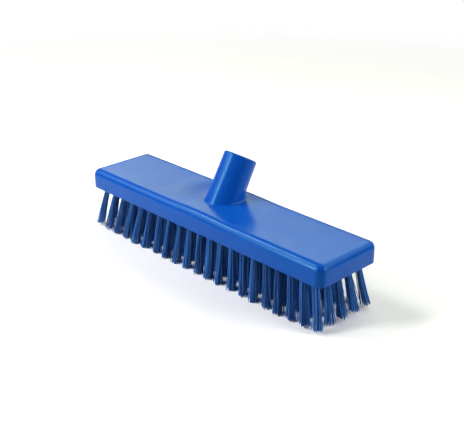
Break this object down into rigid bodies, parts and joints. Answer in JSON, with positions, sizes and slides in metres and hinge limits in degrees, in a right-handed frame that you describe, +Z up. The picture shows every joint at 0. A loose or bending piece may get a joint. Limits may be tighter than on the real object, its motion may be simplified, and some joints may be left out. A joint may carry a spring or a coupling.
{
  "type": "deck brush",
  "caption": "Long scrubbing brush head with a round-edged block, stiff tufts that splay outward and a round handle socket slanting up from its top.",
  "frame": {"origin": "on the floor, at the level cut tip of the middle strand of the middle tuft, straight under the middle of the block", "axes": "+X along the block's length, +Y to the back, the way the handle socket leans, +Z up"},
  "size_m": [0.3114, 0.0748, 0.1081],
  "materials": {
    "block": "satin moulded blue plastic",
    "bristles": "stiff blue filament"
  },
  "bodies": {
    "root": {"block": "block", "handle_socket": "block", "bristle_row_01": "bristles", "bristle_row_02": "bristles", "bristle_row_03": "bristles", "bristle_row_04": "bristles", "bristle_row_05": "bristles", "bristle_row_06": "bristles", "bristle_row_07": "bristles", "bristle_row_08": "bristles", "bristle_row_09": "bristles", "bristle_row_10": "bristles", "bristle_row_11": "bristles", "bristle_row_12": "bristles", "bristle_row_13": "bristles", "bristle_row_14": "bristles", "bristle_row_15": "bristles", "bristle_row_16": "bristles", "bristle_row_17": "bristles", "bristle_row_18": "bristles", "bristle_row_19": "bristles", "bristle_row_20": "bristles", "bristle_row_21": "bristles"}
  },
  "joints": []
}
